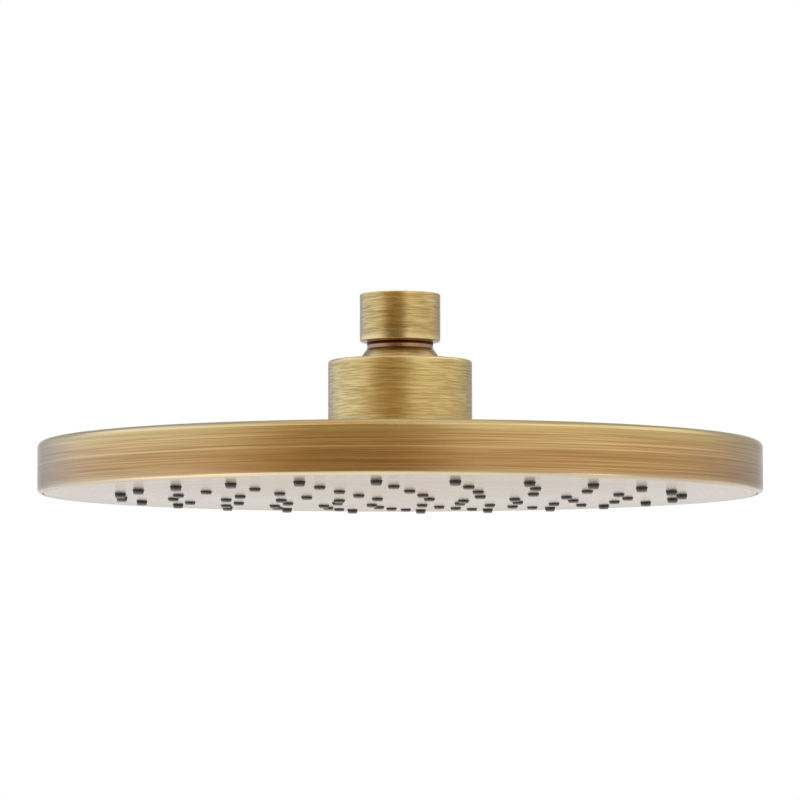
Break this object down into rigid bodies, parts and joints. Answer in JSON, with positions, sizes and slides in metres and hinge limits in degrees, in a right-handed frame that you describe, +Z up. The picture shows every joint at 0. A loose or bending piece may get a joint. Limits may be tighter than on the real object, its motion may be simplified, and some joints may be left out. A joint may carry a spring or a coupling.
{
  "type": "rain shower head",
  "caption": "Round shallow rain shower head in brushed brass on a ball joint, with soft nozzles through its face and a threaded inlet nut that hangs it from a pipe.",
  "frame": {"origin": "centre of the inlet nut's mouth, on the thread's axis", "axes": "+Z up along the inlet thread, the way the pipe leaves; the disc hangs below in the XY plane; -Y faces the viewer"},
  "size_m": [0.25, 0.25, 0.0729],
  "materials": {
    "brushed_brass": "brushed along the turning, bronze tone",
    "turned_brass": "plain turned",
    "nozzle_silicone": "matt dark grey silicone",
    "seal_rubber": "matt black rubber",
    "stainless_steel": "plain",
    "white_acetal": "moulded",
    "grey_abs": "moulded"
  },
  "bodies": {
    "inlet": {"ball_connector": "brushed_brass", "inlet_washer": "seal_rubber", "filter_screen": "stainless_steel"},
    "regulator": {"flow_regulator": "white_acetal", "regulator_o_ring": "seal_rubber", "flow_control_ring": "seal_rubber"},
    "seat": {"ball_seat": "white_acetal", "ball_seal": "seal_rubber", "seat_o_ring": "seal_rubber"},
    "head": {"hub": "brushed_brass", "friction_ring": "white_acetal", "seat_nut": "turned_brass", "stem": "turned_brass", "hub_gasket": "seal_rubber", "stem_gasket": "seal_rubber", "top_pan": "brushed_brass", "chamber_lid": "grey_abs", "nozzle_mat": "nozzle_silicone", "face_plate": "brushed_brass", "lid_screws": "stainless_steel"}
  },
  "joints": [
    {"name": "swivel", "type": "hinge", "parent": "inlet", "child": "regulator", "pos_m": [0, 0, -0.0294], "axis": [0, 0, 1], "continuous": true},
    {"name": "tilt", "type": "hinge", "parent": "regulator", "child": "seat", "pos_m": [0, 0, -0.0294], "axis": [1, 0, 0], "range_deg": [-20, 20]},
    {"name": "spin", "type": "hinge", "parent": "seat", "child": "head", "pos_m": [0, 0, -0.0294], "axis": [0, 0, 1], "continuous": true}
  ]
}
